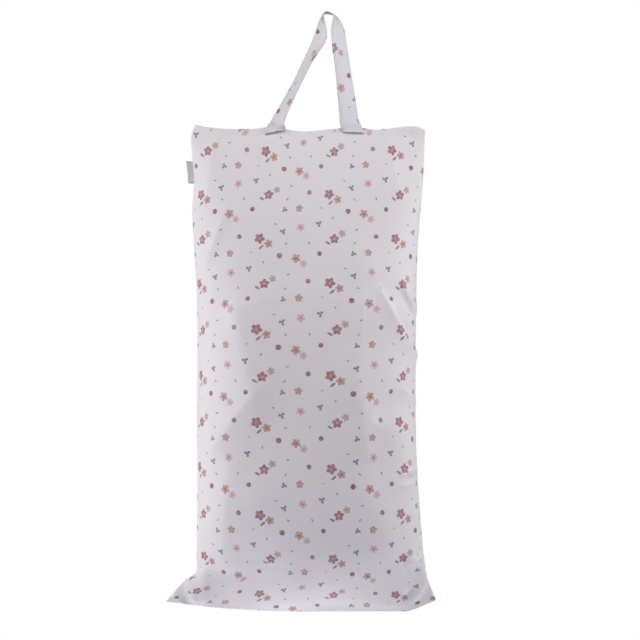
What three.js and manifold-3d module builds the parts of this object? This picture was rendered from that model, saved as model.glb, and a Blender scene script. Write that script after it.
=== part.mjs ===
// A large cloth wet bag, stuffed full and hanging by its strap.
// Millimetres. +X is to the right seen from the front, -Y faces the viewer, +Z is up.
// The origin is the underside of the strap at the top of its loop, where the bag hangs.

import * as THREE from 'three';
import { mergeVertices } from 'three/addons/utils/BufferGeometryUtils.js';
import Module from 'manifold-3d';

const wasm = await Module();
wasm.setup();

// The bag
const flatWidth = 400; // side seam to side seam, laid flat
const bagHeight = 709; // mouth to the middle of the bottom seam
const bagDepth = 172; // front to back, where it is fullest
const mouthDepth = 18; // front to back at the zip
const bagShift = -27; // the bag's middle line, across from the hang point
const strapDrop = 170; // hang point down to the mouth
const mouthWave = 4.4; // how far the mouth's edge rises and dips
const seamSway = 5; // how far a seam wanders forwards and back
const leftCornerLift = 15; // bottom corner above the middle of the bottom seam
const rightCornerLift = 17;
const foldRise = 6; // height of the highest fold

// Cloth
const clothWall = 1.2;
const seamGap = 0.3; // clearance wherever two pieces meet
const acrossSteps = 26;
const downSteps = 34;

// The strap
const strapWidth = 30;
const strapWall = 2.4;
const strapSpan = 117; // left end to right end, across
const strapLap = 9; // length of the ends that lies on the front
const turnedUnder = 1.5; // thickness at a turned-under end, in strap walls
const strapSteps = 60;
const strapColumns = 4;

// The zip
const zipSink = 5; // tape below the mouth's edge
const zipTape = 1.4;
const zipCoilWidth = 5.5;
const zipCoilRise = 1.6; // coil above the tape
const zipReach = 0.9; // share of the mouth that it closes
const zipSteps = 30;
const sliderPlace = 0.74; // share of the mouth's right half
const sliderLength = 11;
const sliderWidth = 7.4;
const sliderRise = 3.4;
const pullLength = 22;
const pullWidth = 4.5;
const pullWall = 1.2;

// The label in the left side seam
const labelReach = 12;
const labelHeight = 30;
const labelWall = 1;
const labelDown = 46; // mouth to the label's upper edge
const labelCut = 2; // lower outer corner, cut off

// Sections down the bag. down: share of bagHeight. left, right: shares of half of flatWidth.
// front, back: shares of half of bagDepth beyond the mouth's own. bow, edge: the section's
// curve, 1 - across^bow, to the power of edge, so a low edge is round and a high one is a fin.
const sections = [
  { down: 0.0, left: 0.83, right: 0.875, front: 0.0, back: 0.0, bow: 5.0, edge: 0.9 },
  { down: 0.016, left: 0.845, right: 0.868, front: 0.05, back: 0.05, bow: 4.2, edge: 0.82 },
  { down: 0.05, left: 0.85, right: 0.865, front: 0.25, back: 0.22, bow: 3.4, edge: 0.72 },
  { down: 0.1, left: 0.84, right: 0.857, front: 0.47, back: 0.41, bow: 2.9, edge: 0.62 },
  { down: 0.17, left: 0.832, right: 0.836, front: 0.68, back: 0.6, bow: 2.7, edge: 0.55 },
  { down: 0.25, left: 0.826, right: 0.816, front: 0.8, back: 0.72, bow: 2.6, edge: 0.52 },
  { down: 0.34, left: 0.806, right: 0.806, front: 0.88, back: 0.8, bow: 2.5, edge: 0.5 },
  { down: 0.45, left: 0.802, right: 0.801, front: 0.99, back: 0.88, bow: 2.5, edge: 0.49 },
  { down: 0.58, left: 0.804, right: 0.801, front: 1.0, back: 0.92, bow: 2.5, edge: 0.49 },
  { down: 0.7, left: 0.802, right: 0.81, front: 0.98, back: 0.9, bow: 2.5, edge: 0.5 },
  { down: 0.8, left: 0.804, right: 0.835, front: 0.9, back: 0.82, bow: 2.5, edge: 0.54 },
  { down: 0.87, left: 0.808, right: 0.855, front: 0.74, back: 0.68, bow: 2.4, edge: 0.64 },
  { down: 0.915, left: 0.822, right: 0.872, front: 0.57, back: 0.53, bow: 2.3, edge: 0.8 },
  { down: 0.945, left: 0.868, right: 0.892, front: 0.42, back: 0.39, bow: 2.2, edge: 1.05 },
  { down: 0.972, left: 0.955, right: 0.922, front: 0.23, back: 0.21, bow: 2.2, edge: 1.3 },
  { down: 1.0, left: 1.035, right: 0.952, front: 0.0, back: 0.0, bow: 2.2, edge: 1.4 },
];

// The mouth's edge. across: -1 at the left corner, 1 at the right. rise: shares of mouthWave.
const mouthRows = [
  { across: -1.0, rise: 0.9 },
  { across: -0.93, rise: 0.75 },
  { across: -0.76, rise: 0.05 },
  { across: -0.47, rise: 0.0 },
  { across: -0.32, rise: 0.65 },
  { across: -0.14, rise: -0.4 },
  { across: 0.0, rise: -0.8 },
  { across: 0.16, rise: -0.2 },
  { across: 0.3, rise: 0.35 },
  { across: 0.46, rise: 0.4 },
  { across: 0.6, rise: -0.35 },
  { across: 0.75, rise: 0.5 },
  { across: 0.92, rise: 0.9 },
  { across: 1.0, rise: -0.3 },
];

// Folds, each a soft ridge from one place to another, or a valley where its rise is negative.
// Places are shares, across of half of flatWidth and down of bagHeight. width: shares of
// flatWidth. rise: shares of foldRise.
const frontFolds = [
  { fromAcross: 0.5, fromDown: 0.33, toAcross: 0.76, toDown: 0.47, width: 0.035, rise: 0.9 },
  { fromAcross: 0.42, fromDown: 0.36, toAcross: 0.66, toDown: 0.5, width: 0.04, rise: -0.6 },
  { fromAcross: -0.4, fromDown: 0.01, toAcross: -0.68, toDown: 0.07, width: 0.03, rise: 0.6 },
  { fromAcross: -0.62, fromDown: 0.05, toAcross: -0.74, toDown: 0.32, width: 0.05, rise: -0.5 },
  { fromAcross: 0.6, fromDown: 0.02, toAcross: 0.74, toDown: 0.13, width: 0.03, rise: 0.5 },
  { fromAcross: -0.6, fromDown: 0.35, toAcross: 0.45, toDown: 0.335, width: 0.05, rise: -0.35 },
  { fromAcross: 0.62, fromDown: 0.7, toAcross: 0.78, toDown: 0.715, width: 0.018, rise: 0.55 },
  { fromAcross: 0.6, fromDown: 0.89, toAcross: 0.85, toDown: 0.865, width: 0.018, rise: 0.7 },
  { fromAcross: 0.55, fromDown: 0.93, toAcross: 0.82, toDown: 0.905, width: 0.02, rise: -0.6 },
  { fromAcross: -0.5, fromDown: 0.9, toAcross: -0.8, toDown: 0.96, width: 0.025, rise: 0.5 },
  { fromAcross: -0.62, fromDown: 0.88, toAcross: -0.76, toDown: 0.93, width: 0.02, rise: -0.5 },
];
const backFolds = [
  { fromAcross: -0.72, fromDown: 0.38, toAcross: -0.45, toDown: 0.3, width: 0.04, rise: 0.7 },
  { fromAcross: 0.45, fromDown: 0.55, toAcross: 0.76, toDown: 0.62, width: 0.04, rise: 0.6 },
  { fromAcross: -0.3, fromDown: 0.02, toAcross: -0.55, toDown: 0.09, width: 0.03, rise: 0.5 },
  { fromAcross: 0.35, fromDown: 0.02, toAcross: 0.6, toDown: 0.1, width: 0.03, rise: 0.5 },
  { fromAcross: -0.55, fromDown: 0.93, toAcross: -0.8, toDown: 0.88, width: 0.02, rise: 0.6 },
  { fromAcross: 0.55, fromDown: 0.93, toAcross: 0.82, toDown: 0.88, width: 0.02, rise: 0.6 },
];

// The strap's middle line, from its left end over the top to its right end. across: shares
// of half of strapSpan, from the middle between the ends. down: shares of strapDrop. forward:
// how much of the way from the hang point to the front it stands. turn: degrees turned out
// of the picture plane, so 90 lies flat at the top.
const hangShare = 0.28; // the hang point, across from the middle between the ends
const strapRows = [
  { across: -0.99, down: 0.965, forward: 1.0, turn: 16 },
  { across: -0.83, down: 0.865, forward: 0.95, turn: 42 },
  { across: -0.63, down: 0.736, forward: 0.85, turn: 58 },
  { across: -0.375, down: 0.564, forward: 0.7, turn: 60 },
  { across: -0.186, down: 0.425, forward: 0.5, turn: 56 },
  { across: -0.036, down: 0.322, forward: 0.35, turn: 50 },
  { across: 0.12, down: 0.218, forward: 0.2, turn: 52 },
  { across: 0.16, down: 0.115, forward: 0.1, turn: 68 },
  { across: 0.2, down: 0.035, forward: 0.0, turn: 84 },
  { across: 0.28, down: 0.0, forward: 0.0, turn: 90 },
  { across: 0.38, down: 0.0, forward: 0.0, turn: 90 },
  { across: 0.5, down: 0.025, forward: 0.0, turn: 84 },
  { across: 0.58, down: 0.085, forward: 0.05, turn: 70 },
  { across: 0.61, down: 0.18, forward: 0.15, turn: 54 },
  { across: 0.643, down: 0.322, forward: 0.35, turn: 50 },
  { across: 0.706, down: 0.425, forward: 0.5, turn: 46 },
  { across: 0.78, down: 0.564, forward: 0.7, turn: 38 },
  { across: 0.83, down: 0.736, forward: 0.85, turn: 30 },
  { across: 0.868, down: 0.875, forward: 0.95, turn: 22 },
  { across: 0.91, down: 0.965, forward: 1.0, turn: 12 },
];

const clothMaterial = { color: 0xe9e4ec, roughness: 0.82, metalness: 0 };
const labelMaterial = { color: 0xb7b2b6, roughness: 0.55, metalness: 0 };
const zipMaterial = { color: 0xe4e0e6, roughness: 0.6, metalness: 0 };

const frontSide = -1;
const backSide = 1;
const seamHalf = seamGap / 2;
const mouthZ = -strapDrop;

// A smooth curve through one column of a table, read at one value of another column.
function readRows(rows, key, at, column) {
  let next = 1;
  while (next < rows.length - 1 && rows[next][key] < at) {
    next += 1;
  }
  const slope = (index) => {
    const low = rows[Math.max(index - 1, 0)];
    const high = rows[Math.min(index + 1, rows.length - 1)];
    return (high[column] - low[column]) / (high[key] - low[key]);
  };
  const start = rows[next - 1];
  const end = rows[next];
  const span = end[key] - start[key];
  const t = THREE.MathUtils.clamp((at - start[key]) / span, 0, 1);
  const startWeight = (1 + 2 * t) * (1 - t) * (1 - t);
  const endWeight = t * t * (3 - 2 * t);
  const startBend = t * (1 - t) * (1 - t) * span * slope(next - 1);
  const endBend = -t * t * (1 - t) * span * slope(next);
  return startWeight * start[column] + endWeight * end[column] + startBend + endBend;
}

// How far the cloth stands out of its smooth form, at a place given in shares.
function foldLift(folds, across, down) {
  let lift = 0;
  for (const fold of folds) {
    const from = new THREE.Vector2(fold.fromAcross * flatWidth / 2, fold.fromDown * bagHeight);
    const to = new THREE.Vector2(fold.toAcross * flatWidth / 2, fold.toDown * bagHeight);
    const place = new THREE.Vector2(across * flatWidth / 2, down * bagHeight).sub(from);
    const run = to.sub(from);
    const along = place.dot(run) / run.lengthSq();
    const aside = Math.abs(place.cross(run)) / run.length();
    const beyond = Math.max(0, Math.abs(along - 0.5) - 0.5) * run.length();
    const width = fold.width * flatWidth;
    lift += fold.rise * foldRise * Math.exp(-(aside * aside + beyond * beyond) / (width * width));
  }
  return lift;
}

// How far a seam and the cloth beside it stand forwards or back.
function sway(x, z) {
  const across = (x - bagShift) / flatWidth;
  const down = (mouthZ - z) / bagHeight;
  const level = 0.6 * Math.sin(7.1 * across + 0.8) * Math.cos(2.6 * down);
  const upright = 0.4 * Math.sin(5.3 * down + 3.1 * across);
  return seamSway * (level + upright);
}

function halfWidth(across, down) {
  const column = across < 0 ? 'left' : 'right';
  return readRows(sections, 'down', down, column) * flatWidth / 2;
}

// Height of the cloth, which follows the wave of the mouth and the lift of the corners.
function clothZ(across, down) {
  const nearMouth = Math.max(0, 1 - down / 0.12) ** 2;
  const nearBottom = Math.max(0, (down - 0.84) / 0.16) ** 2;
  const rise = mouthWave * readRows(mouthRows, 'across', across, 'rise') * nearMouth;
  const lift = across < 0
    ? leftCornerLift * Math.abs(across) ** 2.2
    : rightCornerLift * across ** 5;
  return mouthZ - bagHeight * down + rise + lift * nearBottom;
}

// Distance of the cloth's middle surface from the seam plane, folds included.
function clothOut(side, across, down) {
  const front = side === frontSide;
  const share = readRows(sections, 'down', down, front ? 'front' : 'back');
  const bow = readRows(sections, 'down', down, 'bow');
  const edge = readRows(sections, 'down', down, 'edge');
  const curve = Math.max(0, 1 - Math.abs(across) ** bow) ** edge;
  const mouth = (mouthDepth / 2) * Math.max(0, 1 - down / 0.1) ** 2;
  const swell = (bagDepth / 2) * Math.max(0, share);
  const fold = foldLift(front ? frontFolds : backFolds, across, down);
  const steady = Math.min(1, curve * 3) * Math.min(1, share * 6);
  return (mouth + swell) * curve + fold * steady;
}

// A closed solid from two equal grids of points, one outside and one inside, and its rim.
function wallGeometry(outside, inside, facing) {
  const rows = outside.length;
  const columns = outside[0].length;
  const position = [];
  for (const grid of [outside, inside]) {
    for (const row of grid) {
      for (const point of row) {
        position.push(point.x, point.y, point.z);
      }
    }
  }
  const index = [];
  const outer = (row, column) => row * columns + column;
  const inner = (row, column) => (rows + row) * columns + column;
  const quad = (a, b, c, d) => {
    const order = facing > 0 ? [a, b, c, a, c, d] : [a, c, b, a, d, c];
    index.push(...order);
  };
  for (let row = 0; row < rows - 1; row += 1) {
    for (let column = 0; column < columns - 1; column += 1) {
      quad(outer(row, column), outer(row + 1, column),
        outer(row + 1, column + 1), outer(row, column + 1));
      quad(inner(row, column), inner(row, column + 1),
        inner(row + 1, column + 1), inner(row + 1, column));
    }
    const last = columns - 1;
    quad(outer(row, 0), inner(row, 0), inner(row + 1, 0), outer(row + 1, 0));
    quad(outer(row + 1, last), inner(row + 1, last), inner(row, last), outer(row, last));
  }
  for (let column = 0; column < columns - 1; column += 1) {
    const last = rows - 1;
    quad(outer(0, column + 1), inner(0, column + 1), inner(0, column), outer(0, column));
    quad(outer(last, column), inner(last, column),
      inner(last, column + 1), outer(last, column + 1));
  }
  const geometry = new THREE.BufferGeometry();
  geometry.setAttribute('position', new THREE.Float32BufferAttribute(position, 3));
  geometry.setIndex(index);
  return geometry;
}

// One panel of the bag, a wall whose side edges butt on the other panel's at the seam.
function panelGeometry(side) {
  const place = (across, down) => {
    const x = bagShift + across * halfWidth(across, down);
    return new THREE.Vector3(x, side * clothOut(side, across, down), clothZ(across, down));
  };
  const outside = [];
  const inside = [];
  for (let row = 0; row <= downSteps; row += 1) {
    const step = row / downSteps;
    const down = step - 0.75 * Math.sin(2 * Math.PI * step) / (2 * Math.PI);
    const outer = [];
    const inner = [];
    for (let column = 0; column <= acrossSteps; column += 1) {
      const across = Math.sin(Math.PI * (column / acrossSteps - 0.5));
      const reach = 0.004;
      const left = place(Math.max(across - reach, -1), down);
      const right = place(Math.min(across + reach, 1), down);
      const above = place(across, Math.max(down - reach, 0));
      const below = place(across, Math.min(down + reach, 1));
      const normal = right.sub(left).cross(above.sub(below)).normalize();
      const middle = place(across, down);
      const thickness = normal.multiplyScalar(clothWall / 2 * -side);
      const flat = seamHalf + Math.abs(thickness.y);
      middle.y = side * Math.max(side * middle.y, flat);
      const drift = sway(middle.x, middle.z);
      const points = [middle.clone().add(thickness), middle.clone().sub(thickness)];
      for (const point of points) {
        point.y = side * Math.max(side * point.y, seamHalf) + drift;
      }
      outer.push(points[0]);
      inner.push(points[1]);
    }
    outside.push(outer);
    inside.push(inner);
  }
  return wallGeometry(outside, inside, -side);
}

// Height of the mouth's edge and depth of the front's outer face at a place.
function shareAcross(x, down) {
  const offset = x - bagShift;
  return THREE.MathUtils.clamp(offset / halfWidth(offset, down), -1, 1);
}

function mouthEdgeZ(x) {
  return clothZ(shareAcross(x, 0), 0);
}

function frontFaceY(x, z) {
  const down = Math.max(0, (mouthEdgeZ(x) - z) / bagHeight);
  const out = Math.max(clothOut(frontSide, shareAcross(x, down), down), seamHalf);
  return sway(x, z) - out - clothWall;
}

// The strap, a flat ribbon that turns from facing the front to lying flat at the top.
function strapGeometry() {
  const middleX = -hangShare * strapSpan / 2;
  const xAt = (across) => middleX + across * strapSpan / 2;
  const frontAt = (x) => frontFaceY(x, mouthEdgeZ(x)) - seamGap - strapWall / 2;
  const endRow = (across) => {
    const down = (strapLap - mouthEdgeZ(xAt(across))) / strapDrop;
    return { across, down, forward: 1, turn: 0, ply: turnedUnder };
  };
  const rows = [endRow(-1), ...strapRows, endRow(1)];
  const path = new THREE.CatmullRomCurve3(rows.map((row) => {
    const x = xAt(row.across);
    const z = strapWall / 2 - row.down * strapDrop;
    return new THREE.Vector3(x, row.forward * frontAt(x), z);
  }), false, 'centripetal');
  const dress = new THREE.SplineCurve(rows.map((row) => (
    new THREE.Vector2(THREE.MathUtils.degToRad(row.turn), row.ply ?? 1))));
  const outside = [];
  const inside = [];
  for (let step = 0; step <= strapSteps; step += 1) {
    const centre = path.getPoint(step / strapSteps);
    const along = path.getTangent(step / strapSteps);
    const [turn, ply] = dress.getPoint(step / strapSteps).toArray();
    const level = new THREE.Vector3(along.z, 0, -along.x).normalize();
    const width = level.multiplyScalar(Math.cos(turn)).sub(
      new THREE.Vector3(0, Math.sin(turn), 0));
    width.addScaledVector(along, -width.dot(along)).normalize();
    const face = width.clone().cross(along).multiplyScalar(ply * strapWall / 2);
    const outer = [];
    const inner = [];
    let push = 0;
    for (let column = 0; column <= strapColumns; column += 1) {
      const aside = (column / strapColumns - 0.5) * strapWidth;
      const middle = centre.clone().addScaledVector(width, aside);
      outer.push(middle.clone().add(face));
      inner.push(middle.clone().sub(face));
      const under = inner[column];
      if (under.z < mouthEdgeZ(under.x) + strapWall) {
        push = Math.max(push, under.y + seamGap - frontFaceY(under.x, under.z));
      }
    }
    for (const point of [...outer, ...inner]) {
      point.y -= push;
    }
    outside.push(outer);
    inside.push(inner);
  }
  return wallGeometry(outside, inside, -1);
}

// A closed mesh as a solid that can be joined or cut, and back again.
function solidOf(geometry) {
  const bare = geometry.clone();
  bare.deleteAttribute('normal');
  bare.deleteAttribute('uv');
  const merged = mergeVertices(bare);
  return new wasm.Manifold(new wasm.Mesh({
    numProp: 3,
    vertProperties: new Float32Array(merged.attributes.position.array),
    triVerts: new Uint32Array(merged.index.array),
  }));
}

function geometryOf(solid) {
  const mesh = solid.getMesh();
  const geometry = new THREE.BufferGeometry();
  geometry.setAttribute('position', new THREE.BufferAttribute(mesh.vertProperties, 3));
  geometry.setIndex(new THREE.BufferAttribute(mesh.triVerts, 1));
  return geometry;
}

// The tapes and the coil, a strip that lies in the mouth between the two panels.
function zipStripGeometry() {
  const zipDown = (zipSink + zipTape) / bagHeight;
  const coilTop = [];
  const flatBottom = [];
  for (let step = 0; step <= zipSteps; step += 1) {
    const across = zipReach * (2 * step / zipSteps - 1);
    const x = bagShift + across * halfWidth(across, zipDown);
    const top = mouthEdgeZ(x) - zipSink;
    const clear = Math.min(clothOut(frontSide, across, 0), clothOut(backSide, across, 0));
    const half = clear - clothWall / 2 - seamGap;
    const coilHalf = Math.min(zipCoilWidth / 2, half * 0.8);
    const profile = [
      { out: -half, rise: 0 },
      { out: -coilHalf, rise: 0 },
      { out: -coilHalf * 0.6, rise: zipCoilRise },
      { out: coilHalf * 0.6, rise: zipCoilRise },
      { out: coilHalf, rise: 0 },
      { out: half, rise: 0 },
    ];
    const drift = sway(x, top);
    coilTop.push(profile.map((p) => new THREE.Vector3(x, drift + p.out, top + p.rise)));
    flatBottom.push(profile.map((p) => new THREE.Vector3(x, drift + p.out, top - zipTape)));
  }
  return wallGeometry(coilTop, flatBottom, 1);
}

// The closed zip, with its slider at the right end and the pull lying back along the coil.
function zipGeometry() {
  const slider = new THREE.BoxGeometry(sliderLength, sliderWidth, sliderRise);
  const pull = new THREE.BoxGeometry(pullLength, pullWidth, pullWall);
  const x = bagShift + sliderPlace * halfWidth(1, 0);
  const tapeZ = mouthEdgeZ(x) - zipSink;
  const sliderZ = tapeZ + sliderRise / 2;
  slider.translate(x, sway(x, tapeZ), sliderZ);
  const pullX = x - (sliderLength + pullLength) / 2 + pullWall;
  const pullZ = tapeZ + sliderRise - pullWall / 2;
  const slope = Math.atan2(mouthEdgeZ(x) - mouthEdgeZ(pullX), x - pullX);
  pull.rotateY(-slope);
  pull.translate(pullX, sway(pullX, tapeZ), pullZ - Math.sin(slope) * pullLength / 2);
  const strip = solidOf(zipStripGeometry());
  return geometryOf(strip.add(solidOf(slider)).add(solidOf(pull)));
}

// The folded label, which stands out of the left seam.
function labelGeometry() {
  const top = mouthZ - labelDown;
  const bottom = top - labelHeight;
  const edgeX = (z) => {
    const down = (mouthZ - z) / bagHeight;
    return bagShift - halfWidth(-1, down) - clothWall / 2 - seamGap;
  };
  const outerX = edgeX((top + bottom) / 2) - labelReach;
  const outline = new THREE.Shape([
    new THREE.Vector2(edgeX(top), top),
    new THREE.Vector2(outerX, top),
    new THREE.Vector2(outerX, bottom + labelCut),
    new THREE.Vector2(outerX + labelCut, bottom),
    new THREE.Vector2(edgeX(bottom), bottom),
    new THREE.Vector2(edgeX((top + bottom) / 2), (top + bottom) / 2),
  ]);
  const geometry = new THREE.ExtrudeGeometry(outline, { depth: labelWall, bevelEnabled: false });
  geometry.rotateX(Math.PI / 2);
  geometry.translate(0, labelWall / 2 + sway(outerX, top), 0);
  return geometry;
}

function piece(name, geometry, look) {
  const mesh = new THREE.Mesh(geometry, new THREE.MeshStandardMaterial(look));
  mesh.name = name;
  return mesh;
}

const wetBag = new THREE.Group();
wetBag.add(
  piece('front_panel', panelGeometry(frontSide), clothMaterial),
  piece('back_panel', panelGeometry(backSide), clothMaterial),
  piece('zip_closure', zipGeometry(), zipMaterial),
  piece('handle_strap', strapGeometry(), clothMaterial),
  piece('side_label', labelGeometry(), labelMaterial),
);

export default wetBag;
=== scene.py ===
import math

import bmesh
import bpy
import numpy as np
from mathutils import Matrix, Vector
from mathutils.bvhtree import BVHTree


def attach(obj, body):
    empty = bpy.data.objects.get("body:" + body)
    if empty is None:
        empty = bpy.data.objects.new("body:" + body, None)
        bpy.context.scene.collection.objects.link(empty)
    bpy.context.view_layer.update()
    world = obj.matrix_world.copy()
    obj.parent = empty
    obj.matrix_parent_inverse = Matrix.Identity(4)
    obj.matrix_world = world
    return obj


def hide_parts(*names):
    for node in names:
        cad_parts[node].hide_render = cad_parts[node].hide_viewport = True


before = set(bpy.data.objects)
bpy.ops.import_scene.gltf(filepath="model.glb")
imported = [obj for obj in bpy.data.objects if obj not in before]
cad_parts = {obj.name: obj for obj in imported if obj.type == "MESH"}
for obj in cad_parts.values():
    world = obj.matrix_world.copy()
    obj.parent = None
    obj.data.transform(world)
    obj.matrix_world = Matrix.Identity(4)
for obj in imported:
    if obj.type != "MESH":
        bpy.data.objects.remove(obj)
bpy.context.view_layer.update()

bag = {
    "flatWidth": 0.400,      # cut size between the side seams
    "height": 0.709,         # mouth to the middle of the bottom seam, as it hangs
    "cutHeight": 0.742,      # the same along the cloth, flat
    "depth": 0.172,          # front to back where it is fullest
    "mouthDepth": 0.018,     # front to back at the zip
    "middle": -0.027,        # the bag's middle line, across from the hang point
    "mouthZ": -0.170,        # hang point down to the mouth
    "mouthWave": 0.0044,     # rise and dip of the mouth's edge
    "seamSway": 0.005,       # how far a seam wanders forwards and back
    "leftLift": 0.015,       # bottom corners above the middle of the bottom seam
    "rightLift": 0.017,
    "leftCurve": 2.2,        # power of the left half's rise towards its corner
    "rightCurve": 1.2,
    "rightCut": 4.4,         # one over the outer share of the right half that rises
    "mouthFlare": 0.1,       # share of the height over which the mouth's depth fades
    "waveFade": 0.12,        # the same for the mouth's wave
    "cornerFade": 0.16,      # the same for the bottom corners' lift
    "foldRise": 0.006,       # height of the highest fold
    "wall": 0.0012,
    "seamGap": 0.0003,
    "columns": 80,
    "rows": 144,
    "lumps": 0.0016,         # how far the load inside pushes the cloth in and out
    "lumpFade": 0.016,       # distance from the seams within which the lumps fade
    "foldFade": 0.006,
    "backPrint": (0.83, 0.05),   # where the back is cut from the same printed cloth
}

# Sections down the bag, in shares of the sizes above.
bagSections = [
    dict(down=0.0, left=0.813, right=0.875, front=0.0, back=0.0, bow=5.0, edge=0.9),
    dict(down=0.016, left=0.845, right=0.868, front=0.05, back=0.05, bow=4.2, edge=0.82),
    dict(down=0.05, left=0.844, right=0.865, front=0.23, back=0.22, bow=3.4, edge=0.72),
    dict(down=0.1, left=0.826, right=0.857, front=0.42, back=0.41, bow=2.9, edge=0.62),
    dict(down=0.17, left=0.839, right=0.836, front=0.6, back=0.6, bow=2.7, edge=0.55),
    dict(down=0.25, left=0.826, right=0.816, front=0.76, back=0.72, bow=2.6, edge=0.52),
    dict(down=0.34, left=0.806, right=0.806, front=0.93, back=0.8, bow=2.5, edge=0.5),
    dict(down=0.37, left=0.804, right=0.805, front=0.965, back=0.82, bow=2.5, edge=0.5),
    dict(down=0.45, left=0.802, right=0.801, front=0.995, back=0.88, bow=2.5, edge=0.49),
    dict(down=0.58, left=0.804, right=0.801, front=1.0, back=0.92, bow=2.5, edge=0.49),
    dict(down=0.7, left=0.802, right=0.81, front=0.98, back=0.9, bow=2.5, edge=0.5),
    dict(down=0.8, left=0.804, right=0.835, front=0.9, back=0.82, bow=2.5, edge=0.54),
    dict(down=0.87, left=0.808, right=0.855, front=0.74, back=0.68, bow=2.4, edge=0.64),
    dict(down=0.915, left=0.806, right=0.872, front=0.57, back=0.53, bow=2.3, edge=0.8),
    dict(down=0.924, left=0.808, right=0.877, front=0.53, back=0.49, bow=2.2, edge=0.87),
    dict(down=0.932, left=0.836, right=0.883, front=0.49, back=0.45, bow=2.2, edge=0.94),
    dict(down=0.943, left=0.892, right=0.891, front=0.43, back=0.4, bow=2.2, edge=1.04),
    dict(down=0.974, left=0.973, right=0.924, front=0.22, back=0.2, bow=2.2, edge=1.3),
    dict(down=1.0, left=1.035, right=0.952, front=0.0, back=0.0, bow=2.2, edge=1.4),
]

# Rise of the mouth's edge, across from the left corner at -1 to the right one at 1.
mouthRows = [
    dict(across=-1.0, rise=1.5),
    dict(across=-0.93, rise=0.75),
    dict(across=-0.76, rise=0.05),
    dict(across=-0.47, rise=0.0),
    dict(across=-0.32, rise=0.65),
    dict(across=-0.14, rise=-0.4),
    dict(across=0.0, rise=-0.8),
    dict(across=0.16, rise=-0.2),
    dict(across=0.3, rise=0.35),
    dict(across=0.46, rise=0.4),
    dict(across=0.6, rise=-0.35),
    dict(across=0.75, rise=0.5),
    dict(across=0.92, rise=0.9),
    dict(across=1.0, rise=-0.3),
]

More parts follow.
